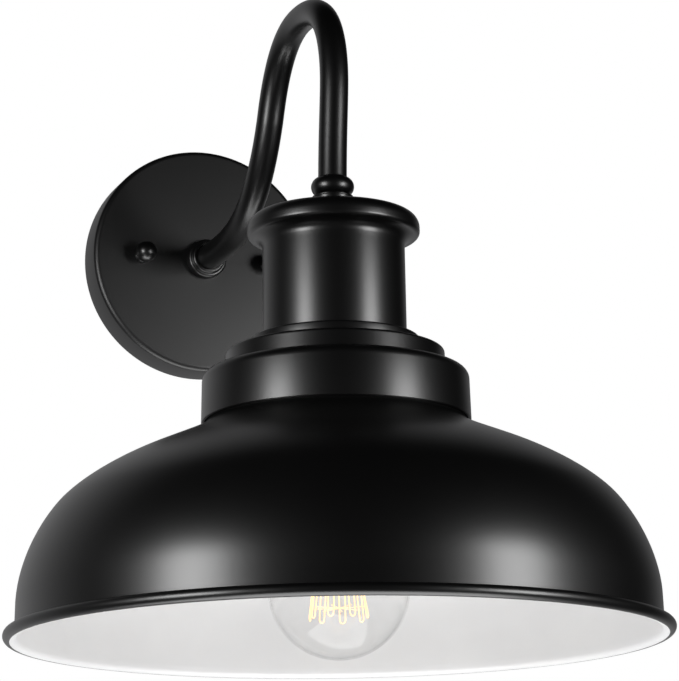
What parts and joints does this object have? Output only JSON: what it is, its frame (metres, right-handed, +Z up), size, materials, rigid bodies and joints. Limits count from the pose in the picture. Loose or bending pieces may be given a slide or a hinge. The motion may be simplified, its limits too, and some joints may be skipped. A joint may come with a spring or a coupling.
{
  "type": "outdoor wall lantern",
  "caption": "Barn-style outdoor wall lantern: a spun bowl shade with a stepped neck hangs from a gooseneck arm on a round wall plate, with a clear bulb inside.",
  "frame": {"origin": "centre of the wall plate's back, on the wall plane", "axes": "+Y into the wall, +Z up, +X to the right as the plate is faced; the lamp hangs on the -Y side"},
  "size_m": [0.2998, 0.3712, 0.324],
  "materials": {
    "black_coat": "satin black powder coat, white enamel inside the shade",
    "foam": "closed-cell foam",
    "zinc": "bright zinc plate",
    "green_dye": "green dyed steel",
    "phenolic": "moulded phenolic",
    "porcelain": "glazed white porcelain",
    "brass": "rolled brass",
    "clear_glass": "clear",
    "nickel": "nickel-plated brass",
    "black_glass": "black insulator glass",
    "filament": "warm wire",
    "dark_sleeve": "silicone sleeve",
    "light_sleeve": "silicone sleeve",
    "copper": "bare copper",
    "nut_plastic": "moulded"
  },
  "bodies": {
    "fixture": {"wall_plate": "black_coat", "wall_seal": "foam", "crossbar": "zinc", "stud_left": "zinc", "stud_right": "zinc", "stud_nut_left": "zinc", "stud_nut_right": "zinc", "plate_nipple": "zinc", "plate_lock_washer": "zinc", "plate_lock_nut": "zinc", "plate_collar": "black_coat", "gooseneck_arm": "black_coat", "arm_bead": "black_coat", "neck_spacer": "black_coat", "lamp_nipple": "zinc", "lamp_lock_washer": "zinc", "lamp_lock_nut": "zinc", "housing": "black_coat", "foot_ring": "black_coat", "shade_holder": "black_coat", "shade": "black_coat", "socket_body": "porcelain", "socket_shell": "brass", "terminal_screw_brass": "brass", "terminal_screw_silver": "zinc", "stirrup_screw_left": "zinc", "stirrup_screw_right": "zinc", "socket_stirrup": "zinc", "stirrup_nut": "zinc", "lead_dark": "dark_sleeve", "lead_light": "light_sleeve", "lead_earth": "copper", "wire_nut_dark": "nut_plastic", "wire_nut_light": "nut_plastic"},
    "bulb_tip": {"bulb_contact": "zinc"},
    "bulb": {"bulb_glass": "clear_glass", "bulb_cap": "nickel", "bulb_insulator": "black_glass", "bulb_stem": "clear_glass", "bulb_filament": "filament"},
    "left_ball_nut": {"ball_nut_left": "black_coat"},
    "right_ball_nut": {"ball_nut_right": "black_coat"},
    "clamp_ring": {"shade_ring": "phenolic"},
    "earth_screw": {"ground_screw": "green_dye"},
    "spring_tongue": {"contact_tongue": "brass"}
  },
  "joints": [
    {"name": "bulb_travel", "type": "slide", "parent": "fixture", "child": "bulb_tip", "axis": [0, 0, -1], "range_m": [0, 0.01452]},
    {"name": "bulb_turn", "type": "hinge", "parent": "bulb_tip", "child": "bulb", "pos_m": [0, -0.2213, -0.2296], "axis": [0, 0, -1], "range_deg": [0, 1440]},
    {"name": "left_ball_nut_off", "type": "slide", "parent": "fixture", "child": "left_ball_nut", "axis": [0, -1, 0], "range_m": [0, 0.007]},
    {"name": "right_ball_nut_off", "type": "slide", "parent": "fixture", "child": "right_ball_nut", "axis": [0, -1, 0], "range_m": [0, 0.007]},
    {"name": "clamp_ring_down", "type": "slide", "parent": "fixture", "child": "clamp_ring", "axis": [0, 0, -1], "range_m": [0, 0.0136]},
    {"name": "earth_screw_out", "type": "slide", "parent": "fixture", "child": "earth_screw", "axis": [0, -1, 0], "range_m": [0, 0.002]},
    {"name": "tongue_flex", "type": "slide", "parent": "fixture", "child": "spring_tongue", "axis": [0, 0, 1], "range_m": [0, 0.0012], "stiffness_N_per_m": 300}
  ],
  "couplings": [
    {"joint": "bulb_travel", "follows": "bulb_turn", "m_per_rad": 0.0005775}
  ]
}
